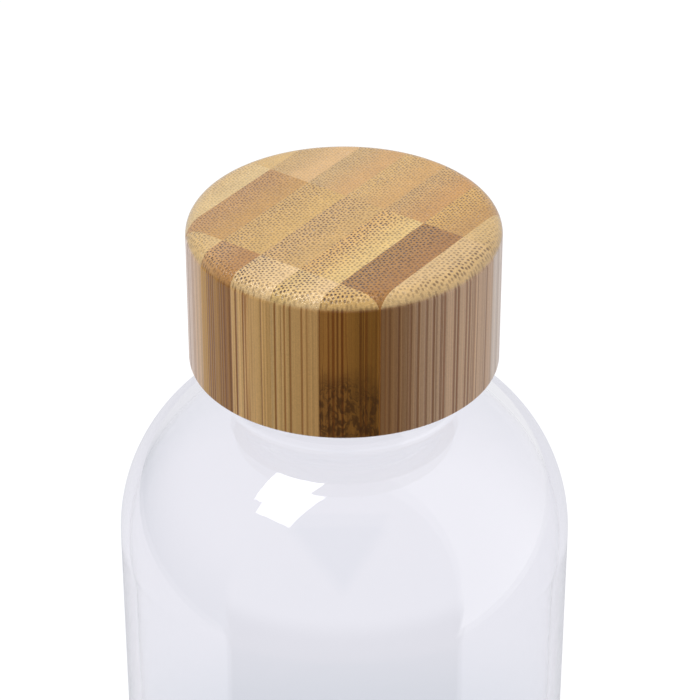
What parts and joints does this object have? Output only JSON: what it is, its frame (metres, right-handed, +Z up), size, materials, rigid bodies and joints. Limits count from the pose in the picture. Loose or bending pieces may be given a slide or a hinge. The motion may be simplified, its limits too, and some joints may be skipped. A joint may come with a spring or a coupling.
{
  "type": "water bottle",
  "caption": "Clear cylindrical glass bottle with a round shoulder, closed by a screw-on cap turned from laminated bamboo strips.",
  "frame": {"origin": "centre of the ring that the bottle stands on", "axes": "+Z up along the bottle's axis; +X along the rows of bamboo strips in the cap"},
  "size_m": [0.066, 0.066, 0.22],
  "materials": {
    "glass": "clear, smooth",
    "liner": "natural polypropylene, satin",
    "seal": "translucent silicone, matte",
    "bamboo_pale": "varnished, satin",
    "bamboo_golden": "varnished, satin",
    "bamboo_brown": "varnished, satin"
  },
  "bodies": {
    "bottle": {"glass_body": "glass"},
    "seal": {"seal_ring": "seal"},
    "cap": {"cap_liner": "liner", "bamboo_strip_a1": "bamboo_pale", "bamboo_strip_b1": "bamboo_pale", "bamboo_strip_a2": "bamboo_pale", "bamboo_strip_b2": "bamboo_brown", "bamboo_strip_c2": "bamboo_golden", "bamboo_strip_a3": "bamboo_golden", "bamboo_strip_b3": "bamboo_golden", "bamboo_strip_c3": "bamboo_brown", "bamboo_strip_a4": "bamboo_golden", "bamboo_strip_b4": "bamboo_golden", "bamboo_strip_c4": "bamboo_pale", "bamboo_strip_a5": "bamboo_golden", "bamboo_strip_b5": "bamboo_pale", "bamboo_strip_c5": "bamboo_pale", "bamboo_strip_a6": "bamboo_brown", "bamboo_strip_b6": "bamboo_brown", "bamboo_strip_c6": "bamboo_brown", "bamboo_strip_a7": "bamboo_pale", "bamboo_strip_b7": "bamboo_pale"}
  },
  "joints": [
    {"name": "cap_rise", "type": "slide", "parent": "bottle", "child": "seal", "axis": [0, 0, 1], "range_m": [0, 0.0252]},
    {"name": "cap_turn", "type": "hinge", "parent": "seal", "child": "cap", "pos_m": [0, 0, 0.2], "axis": [0, 0, 1], "range_deg": [0, 2160]}
  ],
  "couplings": [
    {"joint": "cap_rise", "follows": "cap_turn", "m_per_rad": 0.00066845}
  ]
}
